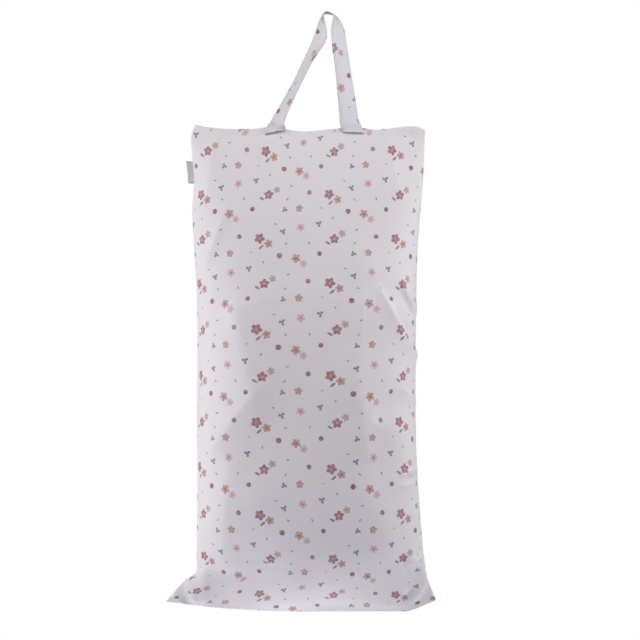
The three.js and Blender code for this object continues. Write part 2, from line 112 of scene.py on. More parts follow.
# Folds from one place to another, in shares of half the flat width and of the height. near
# and far are the slopes' widths on the fold's two sides, in shares of the flat width. Power
# is 2 for a round fold and near 1 for a creased one.
frontFolds = [
    # the load's upper edge, an arch across the front, and the plateau's sides below it
    dict(x1=-0.607, y1=0.373, x2=-0.019, y2=0.344, near=0.085, far=0.2, rise=0.9, power=1.2),
    dict(x1=-0.137, y1=0.344, x2=0.437, y2=0.36, near=0.09, far=0.2, rise=0.8, power=1.2),
    dict(x1=-0.53, y1=0.35, x2=-0.32, y2=0.62, near=0.09, far=0.09, rise=1.4, power=1.5),
    dict(x1=-0.27, y1=0.51, x2=-0.74, y2=0.68, near=0.07, far=0.06, rise=1.1, power=1.4),
    dict(x1=-0.563, y1=0.669, x2=-0.607, y2=0.918, near=0.125, far=0.065, rise=0.7, power=1.3),
    dict(x1=0.43, y1=0.32, x2=0.33, y2=0.59, near=0.1, far=0.07, rise=1.0, power=1.2),
    dict(x1=0.32, y1=0.44, x2=0.46, y2=0.69, near=0.07, far=0.07, rise=0.9, power=1.3),
    dict(x1=0.5, y1=0.61, x2=0.6, y2=0.77, near=0.08, far=0.08, rise=-0.6, power=2.0),
    dict(x1=0.481, y1=0.769, x2=0.628, y2=0.893, near=0.075, far=0.113, rise=0.6, power=1.4),
    # slanting folds from the right seam
    dict(x1=0.5, y1=0.32, x2=0.83, y2=0.485, near=0.016, far=0.034, rise=1.2, power=1.2),
    dict(x1=0.63, y1=0.372, x2=0.83, y2=0.462, near=0.024, far=0.013, rise=-1.0, power=1.3),
    dict(x1=0.672, y1=0.308, x2=0.819, y2=0.387, near=0.015, far=0.025, rise=0.8, power=1.2),
    dict(x1=0.664, y1=0.329, x2=0.804, y2=0.396, near=0.01, far=0.023, rise=-0.6, power=1.3),
    dict(x1=0.731, y1=0.543, x2=0.495, y2=0.605, near=0.04, far=0.05, rise=-0.8, power=1.6),
    dict(x1=0.701, y1=0.534, x2=0.804, y2=0.572, near=0.01, far=0.023, rise=0.5, power=1.2),
    # puckers on the right seam
    dict(x1=0.679, y1=0.717, x2=0.811, y2=0.7, near=0.009, far=0.013, rise=0.55, power=1.2),
    dict(x1=0.694, y1=0.727, x2=0.811, y2=0.715, near=0.008, far=0.01, rise=-0.55, power=1.2),
    dict(x1=0.686, y1=0.738, x2=0.811, y2=0.729, near=0.008, far=0.013, rise=0.4, power=1.2),
    # the right bottom corner
    dict(x1=0.71, y1=0.898, x2=0.87, y2=0.883, near=0.028, far=0.035, rise=1.4, power=1.15),
    dict(x1=0.8, y1=0.916, x2=0.89, y2=0.899, near=0.016, far=0.02, rise=0.8, power=1.15),
    dict(x1=0.782, y1=0.87, x2=0.826, y2=0.903, near=0.008, far=0.008, rise=-0.4, power=1.3),
    dict(x1=0.775, y1=0.974, x2=0.91, y2=0.924, near=0.012, far=0.014, rise=0.9, power=1.15),
    dict(x1=0.701, y1=0.98, x2=0.797, y2=0.949, near=0.015, far=0.015, rise=-0.65, power=1.5),
    dict(x1=0.767, y1=0.982, x2=0.856, y2=0.949, near=0.013, far=0.013, rise=0.55, power=1.3),
    # the left bottom corner
    dict(x1=-0.739, y1=0.905, x2=-0.761, y2=0.99, near=0.03, far=0.06, rise=0.7, power=1.4),
    dict(x1=-0.989, y1=0.957, x2=-0.901, y2=0.986, near=0.008, far=0.015, rise=0.7, power=1.15),
    dict(x1=-0.85, y1=0.959, x2=-0.806, y2=0.984, near=0.01, far=0.01, rise=0.5, power=1.15),
    dict(x1=-0.93, y1=0.94, x2=-0.88, y2=0.986, near=0.02, far=0.012, rise=-0.25, power=1.3),
    # below the mouth
    dict(x1=-0.519, y1=0.06, x2=-0.019, y2=0.076, near=0.06, far=0.12, rise=-0.9, power=2.0),
    dict(x1=-0.563, y1=0.155, x2=-0.739, y2=0.292, near=0.023, far=0.055, rise=0.7, power=1.2),
    dict(x1=-0.651, y1=0.004, x2=-0.739, y2=0.157, near=0.065, far=0.035, rise=0.7, power=1.3),
    dict(x1=-0.688, y1=0.014, x2=-0.592, y2=0.027, near=0.01, far=0.02, rise=0.45, power=1.2),
    dict(x1=0.569, y1=0.004, x2=0.701, y2=0.157, near=0.035, far=0.065, rise=0.6, power=1.3),
    dict(x1=0.716, y1=0.018, x2=0.797, y2=0.006, near=0.01, far=0.018, rise=-0.45, power=1.2),
    dict(x1=0.334, y1=0.221, x2=0.481, y2=0.333, near=0.1, far=0.1, rise=0.7, power=1.3),
]
backFolds = [
    dict(x1=-0.8, y1=0.4, x2=-0.42, y2=0.3, near=0.04, far=0.04, rise=0.9, power=1.6),
    dict(x1=0.42, y1=0.54, x2=0.8, y2=0.63, near=0.04, far=0.04, rise=0.8, power=1.6),
    dict(x1=-0.3, y1=0.0, x2=-0.6, y2=0.12, near=0.035, far=0.035, rise=0.7, power=1.6),
    dict(x1=0.35, y1=0.0, x2=0.6, y2=0.13, near=0.035, far=0.035, rise=0.7, power=1.6),
    dict(x1=-0.5, y1=0.94, x2=-0.86, y2=0.87, near=0.03, far=0.03, rise=0.8, power=1.5),
    dict(x1=0.5, y1=0.94, x2=0.86, y2=0.87, near=0.03, far=0.03, rise=0.8, power=1.5),
    dict(x1=-0.82, y1=0.41, x2=-0.6, y2=0.35, near=0.008, far=0.014, rise=0.3, power=1.2),
    dict(x1=0.6, y1=0.59, x2=0.82, y2=0.63, near=0.008, far=0.014, rise=0.3, power=1.2),
    dict(x1=0.66, y1=0.9, x2=0.86, y2=0.87, near=0.008, far=0.014, rise=0.3, power=1.2),
    dict(x1=-0.86, y1=0.88, x2=-0.66, y2=0.91, near=0.008, far=0.014, rise=0.3, power=1.2),
]


def readRows(rows, key, at, column):
    # a smooth curve through one column of a table
    keys = np.array([row[key] for row in rows])
    values = np.array([row[column] for row in rows])
    slopes = np.gradient(values, keys, edge_order=1)
    slopes[1:-1] = (values[2:] - values[:-2]) / (keys[2:] - keys[:-2])
    at = np.clip(np.asarray(at, dtype=float), keys[0], keys[-1])
    after = np.clip(np.searchsorted(keys, at), 1, len(keys) - 1)
    span = keys[after] - keys[after - 1]
    t = (at - keys[after - 1]) / span
    start = (1 + 2 * t) * (1 - t) ** 2 * values[after - 1]
    end = t * t * (3 - 2 * t) * values[after]
    bend = t * (1 - t) * span * ((1 - t) * slopes[after - 1] - t * slopes[after])
    return start + end + bend


def sectionAt(down, column):
    return float(readRows(bagSections, "down", down, column))


def sway(x, z):
    # how far the bag's middle surface wanders forwards and back
    across = (x - bag["middle"]) / bag["flatWidth"]
    down = (bag["mouthZ"] - z) / bag["height"]
    level = 0.6 * np.sin(7.1 * across + 0.8) * np.cos(2.6 * down)
    upright = 0.4 * np.sin(5.3 * down + 3.1 * across)
    return bag["seamSway"] * (level + upright)


def foldLift(folds, x, z):
    # how far the folds stand out of the cloth at these places
    lift = np.zeros_like(x)
    for fold in folds:
        fromX = bag["middle"] + fold["x1"] * bag["flatWidth"] / 2
        fromZ = bag["mouthZ"] - fold["y1"] * bag["height"]
        runX = (fold["x2"] - fold["x1"]) * bag["flatWidth"] / 2
        runZ = (fold["y1"] - fold["y2"]) * bag["height"]
        length = math.hypot(runX, runZ)
        along = ((x - fromX) * runX + (z - fromZ) * runZ) / length ** 2
        aside = ((z - fromZ) * runX - (x - fromX) * runZ) / length
        swell = np.maximum(0, 4 * along * (1 - along)) ** 0.8
        width = bag["flatWidth"] * np.where(aside > 0, fold["near"], fold["far"])
        reach = np.abs(aside) / (width * (0.4 + 0.6 * swell))
        lift += fold["rise"] * swell * np.exp(-reach ** fold["power"])
    return lift * bag["foldRise"]


def lumpLift(x, z):
    # broad shallow unevenness of what the bag holds, in waves that don't repeat on it
    slow = np.sin(34 * x + 11 * z + 1.3) * np.sin(19 * z - 9 * x)
    quick = np.sin(61 * x - 23 * z + 0.4) * np.sin(47 * z + 21 * x + 2.0)
    return bag["lumps"] * (slow + 0.45 * quick)


def lengthAlong(points):
    steps = np.linalg.norm(np.diff(points, axis=0), axis=1)
    return np.concatenate([[0], np.cumsum(steps)])


def pointsAt(places, length, points):
    # the points of a line at these lengths along it
    return np.stack([np.interp(places, length, points[:, axis]) for axis in range(3)], axis=1)


def panelRow(side, down, columns):
    # one row of points from seam to seam, this share of the way down
    across = np.sin(np.linspace(-math.pi / 2, math.pi / 2, 600))
    left = sectionAt(down, "left") * bag["flatWidth"] / 2
    right = sectionAt(down, "right") * bag["flatWidth"] / 2
    x = bag["middle"] + across * np.where(across < 0, left, right)
    share = max(0.0, sectionAt(down, "front" if side < 0 else "back"))
    curve = np.maximum(0, 1 - np.abs(across) ** sectionAt(down, "bow")) ** sectionAt(down, "edge")
    mouth = bag["mouthDepth"] / 2 * max(0.0, 1 - down / bag["mouthFlare"]) ** 2
    out = (mouth + bag["depth"] / 2 * share) * curve
    nearMouth = max(0.0, 1 - down / bag["waveFade"]) ** 2
    nearBottom = max(0.0, 1 - (1 - down) / bag["cornerFade"]) ** 2
    rise = bag["mouthWave"] * readRows(mouthRows, "across", across, "rise") * nearMouth
    outer = np.clip(1 - bag["rightCut"] * (1 - across), 0, 1)
    lift = np.where(across < 0, bag["leftLift"] * np.abs(across) ** bag["leftCurve"],
                    bag["rightLift"] * outer ** bag["rightCurve"])
    z = bag["mouthZ"] - bag["height"] * down + rise + lift * nearBottom
    y = side * out + sway(x, z)
    points = np.stack([x, y, z], axis=1)
    length = lengthAlong(points)
    return pointsAt(np.linspace(0, length[-1], columns + 1), length, points)


def evenRows(side, rows):
    # shares down the bag at equal steps along the cloth's middle
    fine = np.linspace(0, 1, 500)
    middle = np.array([panelRow(side, down, 2)[1] for down in fine])
    length = lengthAlong(middle)
    return np.interp(np.linspace(0, length[-1], rows + 1), length, fine)


def seamFade(across, down, reach):
    # 0 on the seams and at the mouth, 1 from this many metres away from them
    aside = np.minimum(across, 1 - across) * bag["flatWidth"] / reach
    below = np.minimum(down, 1 - down) * bag["cutHeight"] / reach
    return np.clip(aside, 0, 1) * np.clip(below, 0, 1)


def outwards(grid, side):
    # unit normals of a grid of points, away from the bag's inside
    normal = np.cross(np.gradient(grid, axis=0), np.gradient(grid, axis=1))
    normal /= np.linalg.norm(normal, axis=2, keepdims=True) + 1e-9
    return normal * np.sign(side * normal[:, :, 1:2].mean())


def panelGrid(side):
    columns, rows = bag["columns"], bag["rows"]
    grid = np.array([panelRow(side, down, columns) for down in evenRows(side, rows)])
    down, across = np.mgrid[0:1:(rows + 1) * 1j, 0:1:(columns + 1) * 1j]
    lift = lumpLift(grid[:, :, 0], grid[:, :, 2]) * seamFade(across, down, bag["lumpFade"])
    return grid + outwards(grid, side) * lift[:, :, None]


def pieceFrom(bm, name):
    # a smooth-shaded piece in the scene, from a finished bmesh
    for face in bm.faces:
        face.smooth = True
    mesh = bpy.data.meshes.new(name)
    bm.to_mesh(mesh)
    bm.free()
    piece = bpy.data.objects.new(name, mesh)
    bpy.context.scene.collection.objects.link(piece)
    return piece


def panelMesh(name, side):
    columns, rows = bag["columns"], bag["rows"]
    bm = bmesh.new()
    bmesh.ops.create_grid(bm, x_segments=columns, y_segments=rows, size=0.5)
    flat = bm.loops.layers.uv.new("flat")
    backX, backY = bag["backPrint"]
    for face in bm.faces:
        for loop in face.loops:
            place = loop.vert.co
            u = (place.x + 0.5) * bag["flatWidth"]
            v = (place.y + 0.5) * bag["cutHeight"]
            loop[flat].uv = (u, v) if side < 0 else (backX - u, v + backY)
    spots = np.array([(round((0.5 - vert.co.y) * rows), round((vert.co.x + 0.5) * columns))
                      for vert in bm.verts])
    if side > 0:
        bmesh.ops.reverse_faces(bm, faces=bm.faces[:])
    piece = pieceFrom(bm, name)
    grid = panelGrid(side)
    piece.data.vertices.foreach_set("co", grid[spots[:, 0], spots[:, 1]].ravel())
    return piece, spots, grid


# The cloth settles from its drawn form towards two flat cut rectangles sewn together, so
# the excess along the seams gathers into folds of its own.
settle = {
    "frames": 18,
    "hold": 0.003,           # how firmly the load holds the drawn form
    "seamHold": 0.9,
    "seamReach": 0.03,       # share of the cloth over which the seams' hold fades
    "mouthReach": 0.02,
    "cap": 0.009,            # furthest that a point may move
}
clothSettings = {
    "quality": 4,
    "mass": 0.15,            # kilograms for each point
    "air_damping": 2.0,
    "tension_stiffness": 40.0,
    "compression_stiffness": 40.0,
    "shear_stiffness": 15.0,
    "bending_stiffness": 3.0,
    "tension_damping": 10.0,
    "compression_damping": 10.0,
    "bending_damping": 1.0,
    "vertex_group_mass": "hold",
    "use_pressure": True,
    "uniform_pressure_force": 4.0,
}


def addCloth(piece, spots):
    # the modifier, its flat rest form, and how firmly each point is held
    columns, rows = bag["columns"], bag["rows"]
    piece.shape_key_add(name="drawn")
    cut = piece.shape_key_add(name="cut")
    x = (spots[:, 1] / columns - 0.5) * bag["flatWidth"]
    z = -spots[:, 0] / rows * bag["cutHeight"]
    cut.data.foreach_set("co", np.stack([x, np.zeros_like(x), z], axis=1).ravel())
    cut.value = 0.0
    hold = piece.vertex_groups.new(name="hold")
    edge = np.minimum(spots[:, 1], columns - spots[:, 1]) / columns
    foot = (rows - spots[:, 0]) / rows
    seam = np.exp(-(np.minimum(edge, foot) / settle["seamReach"]) ** 2)
    mouth = np.exp(-(spots[:, 0] / rows / settle["mouthReach"]) ** 2)
    weight = np.maximum(settle["hold"] + (settle["seamHold"] - settle["hold"]) * seam, mouth)
    for index, share in enumerate(weight):
        hold.add([index], float(share), "REPLACE")
    cloth = piece.modifiers.new("cloth", "CLOTH")
    settings = cloth.settings
    for key, value in clothSettings.items():
        setattr(settings, key, value)
    settings.rest_shape_key = cut
    settings.effector_weights.gravity = 0.0
    cloth.collision_settings.use_collision = False
    cloth.point_cache.frame_start = 1
    cloth.point_cache.frame_end = settle["frames"]


def settledGrid(piece, spots, drawn):
    # where the points came to rest, none further than the cap from its drawn place
    mesh = piece.evaluated_get(bpy.context.evaluated_depsgraph_get()).data
    places = np.empty(len(spots) * 3)
    mesh.vertices.foreach_get("co", places)
    grid = drawn.copy()
    grid[spots[:, 0], spots[:, 1]] = places.reshape(-1, 3)
    moved = grid - drawn
    far = np.linalg.norm(moved, axis=2, keepdims=True)
    return drawn + moved * np.minimum(1, settle["cap"] / np.maximum(far, 1e-9))


def closeSeams(front, back):
    # both panels share their seam line, and the front stays before the back
    border = np.zeros(front.shape[:2], dtype=bool)
    border[[0, -1], :] = True
    border[:, [0, -1]] = True
    middle = (front + back) / 2
    gap = bag["seamGap"] / 2 + bag["wall"] / 2
    for grid, side in ((front, -1), (back, 1)):
        sewn = border.copy()
        sewn[0, 1:-1] = False
        grid[sewn] = middle[sewn]
        limit = side * middle[:, :, 1] + gap
        grid[:, :, 1] = side * np.maximum(side * grid[:, :, 1], limit)


def finePanel(piece, spots, grid, side, folds):
    # the settled grid, divided once, with the folds worked into it
    mesh = piece.data
    mesh.vertices.foreach_set("co", grid[spots[:, 0], spots[:, 1]].ravel())
    fade = mesh.attributes.new("fade", "FLOAT", "POINT")
    shares = seamFade(spots[:, 1] / bag["columns"], spots[:, 0] / bag["rows"], bag["foldFade"])
    fade.data.foreach_set("value", shares)
    finer = piece.modifiers.new("finer", "SUBSURF")
    finer.levels = 1
    finer.render_levels = 1
    finer.boundary_smooth = "PRESERVE_CORNERS"
    divided = bpy.data.meshes.new_from_object(piece.evaluated_get(
        bpy.context.evaluated_depsgraph_get()))
    piece.modifiers.remove(finer)
    piece.data = divided
    places = np.array([vert.co for vert in divided.vertices])
    normals = np.array([vert.normal for vert in divided.vertices])
    share = np.empty(len(places))
    divided.attributes["fade"].data.foreach_get("value", share)
    lift = foldLift(folds, places[:, 0], places[:, 2]) * share
    places += normals * lift[:, None]
    between = side * sway(places[:, 0], places[:, 2]) + bag["wall"] * share
    places[:, 1] = side * np.maximum(side * places[:, 1], between)
    divided.vertices.foreach_set("co", places.ravel())


def addNode(tree, kind, settings=None, links=None):
    # one node, with its settings, its constant inputs and its links
    node = tree.nodes.new(kind)
    for key, value in (settings or {}).items():
        setattr(node, key, value)
    for key, value in (links or {}).items():
        socket = node.inputs[key]
        if isinstance(value, bpy.types.NodeSocket):
            tree.links.new(value, socket)
        else:
            socket.default_value = value
    return node


def mathNode(tree, operation, *values):
    return addNode(tree, "ShaderNodeMath", {"operation": operation},
                   dict(enumerate(values))).outputs[0]


def mixNode(tree, factor, first, second):
    return addNode(tree, "ShaderNodeMix", {"data_type": "RGBA"},
                   {"Factor": factor, "A": first, "B": second}).outputs["Result"]


def flatPlace(tree):
    # the place on the cloth as it is cut, in metres, whole and in its parts
    place = addNode(tree, "ShaderNodeUVMap", {"uv_map": "flat"}).outputs[0]
    return place, addNode(tree, "ShaderNodeSeparateXYZ", links={0: place}).outputs


def linearColour(code):
    # a code as it is seen on a screen, as the linear colour that the materials take
    parts = [int(code[start:start + 2], 16) / 255 for start in (1, 3, 5)]
    turned = [c / 12.92 if c <= 0.04045 else ((c + 0.055) / 1.055) ** 2.4 for c in parts]
    return (*turned, 1.0)


def newMaterial(name):
    material = bpy.data.materials.new(name)
    material.use_nodes = True
    tree = material.node_tree
    tree.nodes.clear()
    shader = addNode(tree, "ShaderNodeBsdfPrincipled")
    output = addNode(tree, "ShaderNodeOutputMaterial")
    tree.links.new(shader.outputs["BSDF"], output.inputs["Surface"])
    return material, tree, shader


# The print, a tossed ditsy floral. Places and sizes are millimetres in one repeat, and each
# column of repeats stands half a height lower than the one before it.
printRepeat = {"width": 106.0, "height": 134.0, "edge": 0.8}
printColours = {
    "rose": "#AA6A76",
    "terracotta": "#C8988A",
    "blush": "#DFB6BC",
    "tan": "#C4AFA0",
    "berry": "#9A5C68",
    "slate": "#80849A",
}
printMotifs = [
    dict(kind="blossom", x=24, y=105, size=15.5, turn=10, colour="rose", heart="tan"),
    dict(kind="blossom", x=38, y=97, size=12.5, turn=40, colour="terracotta", heart="rose"),
    dict(kind="leaf", x=27, y=92, size=9, turn=140, colour="slate"),
    dict(kind="blossom", x=80, y=75, size=13.5, turn=25, colour="terracotta", heart="berry"),
    dict(kind="blossom", x=91, y=67, size=11, turn=0, colour="blush", heart="tan"),
    dict(kind="blossom", x=33, y=37, size=14.5, turn=55, colour="rose", heart="blush"),
    dict(kind="blossom", x=45, y=45, size=11, turn=35, colour="tan", heart="terracotta"),
    dict(kind="leaf", x=23, y=31, size=8.5, turn=30, colour="slate"),
    dict(kind="blossom", x=87, y=121, size=12, turn=15, colour="blush", heart="rose"),
    dict(kind="blossom", x=84, y=16, size=11.5, turn=60, colour="terracotta", heart="tan"),
    dict(kind="sprig", x=60, y=115, size=9.5, turn=70, colour="slate"),
    dict(kind="sprig", x=9, y=60, size=9.5, turn=200, colour="slate"),
    dict(kind="sprig", x=61, y=14, size=8.5, turn=15, colour="slate"),
    dict(kind="berry", x=55, y=79, size=8, turn=0, colour="berry"),
    dict(kind="berry", x=98, y=41, size=7.2, turn=0, colour="rose"),
    dict(kind="berry", x=10, y=15, size=7, turn=0, colour="berry"),
    dict(kind="seed", x=65, y=97, size=4.6, turn=40, colour="slate"),
    dict(kind="seed", x=31, y=69, size=4.4, turn=110, colour="slate"),
    dict(kind="seed", x=68, y=51, size=4.6, turn=160, colour="slate"),
    dict(kind="seed", x=48, y=126, size=4.2, turn=20, colour="slate"),
    dict(kind="seed", x=100, y=98, size=4.6, turn=70, colour="slate"),
    dict(kind="seed", x=64, y=30, size=4.2, turn=130, colour="rose"),
    dict(kind="seed", x=12, y=84, size=4.4, turn=15, colour="tan"),
]
motifForms = {
    # lobes: how often the outline swells round the motif. inner, outer: radii as shares of
    # size at its necks and at its lobes. squeeze: how narrow it is across its turn.
    "blossom": dict(lobes=5, inner=0.32, outer=0.2, squeeze=1.0),
    "sprig": dict(lobes=3, inner=0.1, outer=0.42, squeeze=1.0),
    "leaf": dict(lobes=2, inner=0.5, outer=0.0, squeeze=0.4),
    "berry": dict(lobes=2, inner=0.5, outer=0.0, squeeze=1.0),
    "seed": dict(lobes=2, inner=0.5, outer=0.0, squeeze=0.4),
    "heart": dict(lobes=2, inner=0.12, outer=0.0, squeeze=1.0),
}


def stampGroup():
    # one motif's mask: its place is wrapped into the repeat, then turned and outlined
    group = bpy.data.node_groups.new("motifStamp", "ShaderNodeTree")
    sides = [("Place", "NodeSocketVector"), ("Centre", "NodeSocketVector"),
             ("Size", "NodeSocketFloat"), ("Turn", "NodeSocketFloat"),
             ("Lobes", "NodeSocketFloat"), ("Inner", "NodeSocketFloat"),
             ("Outer", "NodeSocketFloat"), ("Squeeze", "NodeSocketFloat")]
    for name, kind in sides:
        group.interface.new_socket(name=name, in_out="INPUT", socket_type=kind)
    group.interface.new_socket(name="Mask", in_out="OUTPUT", socket_type="NodeSocketFloat")
    start = addNode(group, "NodeGroupInput").outputs
    half = (printRepeat["width"] / 2, printRepeat["height"] / 2, 1.0)
    low = (-half[0], -half[1], -1.0)
    offset = addNode(group, "ShaderNodeVectorMath", {"operation": "SUBTRACT"},
                     {0: start["Place"], 1: start["Centre"]}).outputs[0]
    away = addNode(group, "ShaderNodeSeparateXYZ", links={0: offset}).outputs
    column = mathNode(group, "MULTIPLY_ADD", away["X"], 1 / printRepeat["width"], 0.5)
    whole = mathNode(group, "FLOOR", column)
    dropped = mathNode(group, "MULTIPLY_ADD", whole, half[1], away["Y"])
    stepped = addNode(group, "ShaderNodeCombineXYZ",
                      links={0: away["X"], 1: dropped}).outputs[0]
    local = addNode(group, "ShaderNodeVectorMath", {"operation": "WRAP"},
                    {0: stepped, 1: half, 2: low}).outputs[0]
    turned = addNode(group, "ShaderNodeVectorRotate", {"rotation_type": "Z_AXIS"},
                     {"Vector": local, "Angle": start["Turn"]}).outputs[0]
    parts = addNode(group, "ShaderNodeSeparateXYZ", links={0: turned}).outputs
    across = mathNode(group, "DIVIDE", parts["Y"], start["Squeeze"])
    angle = mathNode(group, "ARCTAN2", across, parts["X"])
    flat = addNode(group, "ShaderNodeCombineXYZ", links={0: parts["X"], 1: across}).outputs[0]
    radius = addNode(group, "ShaderNodeVectorMath", {"operation": "LENGTH"},
                     {0: flat}).outputs["Value"]
    halfLobes = mathNode(group, "MULTIPLY", start["Lobes"], 0.5)
    phase = mathNode(group, "MULTIPLY", angle, halfLobes)
    swell = mathNode(group, "COSINE", phase)
    lobe = mathNode(group, "ABSOLUTE", swell)
    reach = mathNode(group, "MULTIPLY_ADD", lobe, start["Outer"], start["Inner"])
    edge = mathNode(group, "MULTIPLY_ADD", reach, start["Size"], printRepeat["edge"] / 2)
    inside = mathNode(group, "SUBTRACT", edge, radius)
    mask = addNode(group, "ShaderNodeMapRange", {"clamp": True},
                   {"Value": inside, "From Max": printRepeat["edge"]}).outputs[0]
    addNode(group, "NodeGroupOutput", links={"Mask": mask})
    return group


def printLayers(tree, groundColour, shift=(0.0, 0.0)):
    # the repeat laid over a plain ground, each motif one stamp of watery ink
    place = addNode(tree, "ShaderNodeUVMap", {"uv_map": "flat"}).outputs[0]
    inMillimetres = addNode(tree, "ShaderNodeVectorMath", {"operation": "MULTIPLY_ADD"},
                            {0: place, 1: (1000.0, 1000.0, 0.0),
                             2: (*shift, 0.0)}).outputs[0]
    wash = addNode(tree, "ShaderNodeTexNoise", {"noise_dimensions": "2D"},
                   {"Vector": inMillimetres, "Scale": 0.22, "Detail": 3.0,
                    "Roughness": 0.6}).outputs[0]
    strength = addNode(tree, "ShaderNodeMapRange", {"clamp": True},
                       {"Value": wash, "From Min": 0.3, "From Max": 0.7,
                        "To Min": 0.72, "To Max": 1.0}).outputs[0]
    wobble = addNode(tree, "ShaderNodeTexNoise",
                     {"noise_dimensions": "2D"},
                     {"Vector": inMillimetres, "Scale": 0.5, "Detail": 1.0})
    bent = addNode(tree, "ShaderNodeVectorMath", {"operation": "MULTIPLY_ADD"},
                   {0: wobble.outputs["Color"], 1: (1.0, 1.0, 0.0),
                    2: inMillimetres}).outputs[0]
    stamp = bpy.data.node_groups.get("motifStamp") or stampGroup()
    colour = groundColour
    for motif in printMotifs:
        layers = [(motif["kind"], motif["colour"])]
        if "heart" in motif:
            layers.append(("heart", motif["heart"]))
        for kind, ink in layers:
            form = motifForms[kind]
            node = addNode(tree, "ShaderNodeGroup", {"node_tree": stamp},
                           {"Place": bent, "Centre": (motif["x"], motif["y"], 0.0),
                            "Size": motif["size"], "Turn": math.radians(motif["turn"]),
                            "Lobes": form["lobes"], "Inner": form["inner"],
                            "Outer": form["outer"], "Squeeze": form["squeeze"]})
            cover = mathNode(tree, "MULTIPLY", node.outputs["Mask"], strength)
            colour = mixNode(tree, cover, colour, linearColour(printColours[ink]))
    return colour


def ribs(tree, along, spacing):
    # rounded ridges side by side, from 0 between them to 1 on top
    phase = mathNode(tree, "MULTIPLY", along, math.pi / spacing)
    wave = mathNode(tree, "SINE", phase)
    return mathNode(tree, "ABSOLUTE", wave)


# Polyester knit laminated on its back, which makes it smooth, close and slightly satin.
knit = {
    "ground": "#EDE7EC",
    # the strap's ground is the same cloth drawn darker than the bag's ground, as painted shade
    "strapShadedGround": "#E2DEE6",
    "roughness": 0.62,
    "sheen": 0.25,
    "waleSpacing": 0.0011,   # drawn a little coarser than the real 0.7 mm, so that it shows
    "courseSpacing": 0.0009,
    "relief": 0.00005,
}


def laminatedKnit(name, ground, relief, shift=(0.0, 0.0)):
    material, tree, shader = newMaterial(name)
    ground = linearColour(ground)
    colour = printLayers(tree, ground, shift)
    tree.links.new(colour, shader.inputs["Base Color"])
    shader.inputs["Roughness"].default_value = knit["roughness"]
    shader.inputs["Sheen Weight"].default_value = knit["sheen"]
    shader.inputs["Sheen Roughness"].default_value = 0.4
    shader.inputs["Specular IOR Level"].default_value = 0.35
    parts = flatPlace(tree)[1]
    wale = ribs(tree, parts["X"], knit["waleSpacing"])
    course = ribs(tree, parts["Y"], knit["courseSpacing"])
    height = mathNode(tree, "MULTIPLY_ADD", course, 0.5, wale)
    bump = addNode(tree, "ShaderNodeBump", None,
                   {"Strength": relief, "Distance": knit["relief"], "Height": height})
    tree.links.new(bump.outputs[0], shader.inputs["Normal"])
    return material


def wovenFinish(name, look, width):
    # a narrow woven band: warp and weft threads with painted shade between them, an even tint,
    # and a firmer edge on each side
    material, tree, shader = newMaterial(name)
    place, parts = flatPlace(tree)
    warp = ribs(tree, parts["X"], look["warp"])
    weft = ribs(tree, parts["Y"], look["weft"])
    threads = mathNode(tree, "MULTIPLY", warp, weft)
    uneven = addNode(tree, "ShaderNodeTexNoise", {"noise_dimensions": "2D"},
                     {"Vector": place, "Scale": 420.0, "Detail": 3.0}).outputs[0]
    # painted shade between the threads, mixed with a random uneven tint
    threadShadeAndTint = addNode(tree, "ShaderNodeMath", {"operation": "MULTIPLY_ADD", "use_clamp": True},
                   {0: uneven, 1: 0.5, 2: threads}).outputs[0]
    body = mixNode(tree, threadShadeAndTint, linearColour(look["shade"]), linearColour(look["face"]))
    fromEdge = mathNode(tree, "PINGPONG", parts["X"], width / 2)
    atEdge = addNode(tree, "ShaderNodeMapRange", {"clamp": True},
                     {"Value": fromEdge, "From Min": look["edge"],
                      "From Max": look["edge"] * 1.4, "To Min": 1.0, "To Max": 0.0}).outputs[0]
    edged = mixNode(tree, atEdge, body, linearColour(look["shade"]))
    tree.links.new(edged, shader.inputs["Base Color"])
    bump = addNode(tree, "ShaderNodeBump", None,
                   {"Strength": 0.6, "Distance": look["relief"], "Height": threads})
    tree.links.new(bump.outputs[0], shader.inputs["Normal"])
    shader.inputs["Roughness"].default_value = look["roughness"]
    shader.inputs["Sheen Weight"].default_value = 0.2
    return material


def mouldedFinish(name, look):
    # nylon or enamelled metal: a mottled tint and gloss, and fine unevenness
    material, tree, shader = newMaterial(name)
    place = addNode(tree, "ShaderNodeTexCoord").outputs["Object"]
    mottle = addNode(tree, "ShaderNodeTexNoise", None,
                     {"Vector": place, "Scale": look["mottle"], "Detail": 4.0}).outputs[0]
    tint = mixNode(tree, mottle, linearColour(look["shade"]), linearColour(look["face"]))
    tree.links.new(tint, shader.inputs["Base Color"])
    gloss = addNode(tree, "ShaderNodeMapRange", None,
                    {"Value": mottle, "To Min": look["roughness"] - 0.08,
                     "To Max": look["roughness"] + 0.08}).outputs[0]
    tree.links.new(gloss, shader.inputs["Roughness"])
    grain = addNode(tree, "ShaderNodeTexNoise", None,
                    {"Vector": place, "Scale": look["mottle"] * 9, "Detail": 2.0}).outputs[0]
    bump = addNode(tree, "ShaderNodeBump", None,
                   {"Strength": 0.25, "Distance": 0.00003, "Height": grain})
    tree.links.new(bump.outputs[0], shader.inputs["Normal"])
    shader.inputs["Metallic"].default_value = look["metal"]
    shader.inputs["Coat Weight"].default_value = look["coat"]
    return material


def solidify(piece, thickness):
    wall = piece.modifiers.new("wall", "SOLIDIFY")
    wall.thickness = thickness
    wall.offset = -1
    wall.use_even_offset = False
    return wall


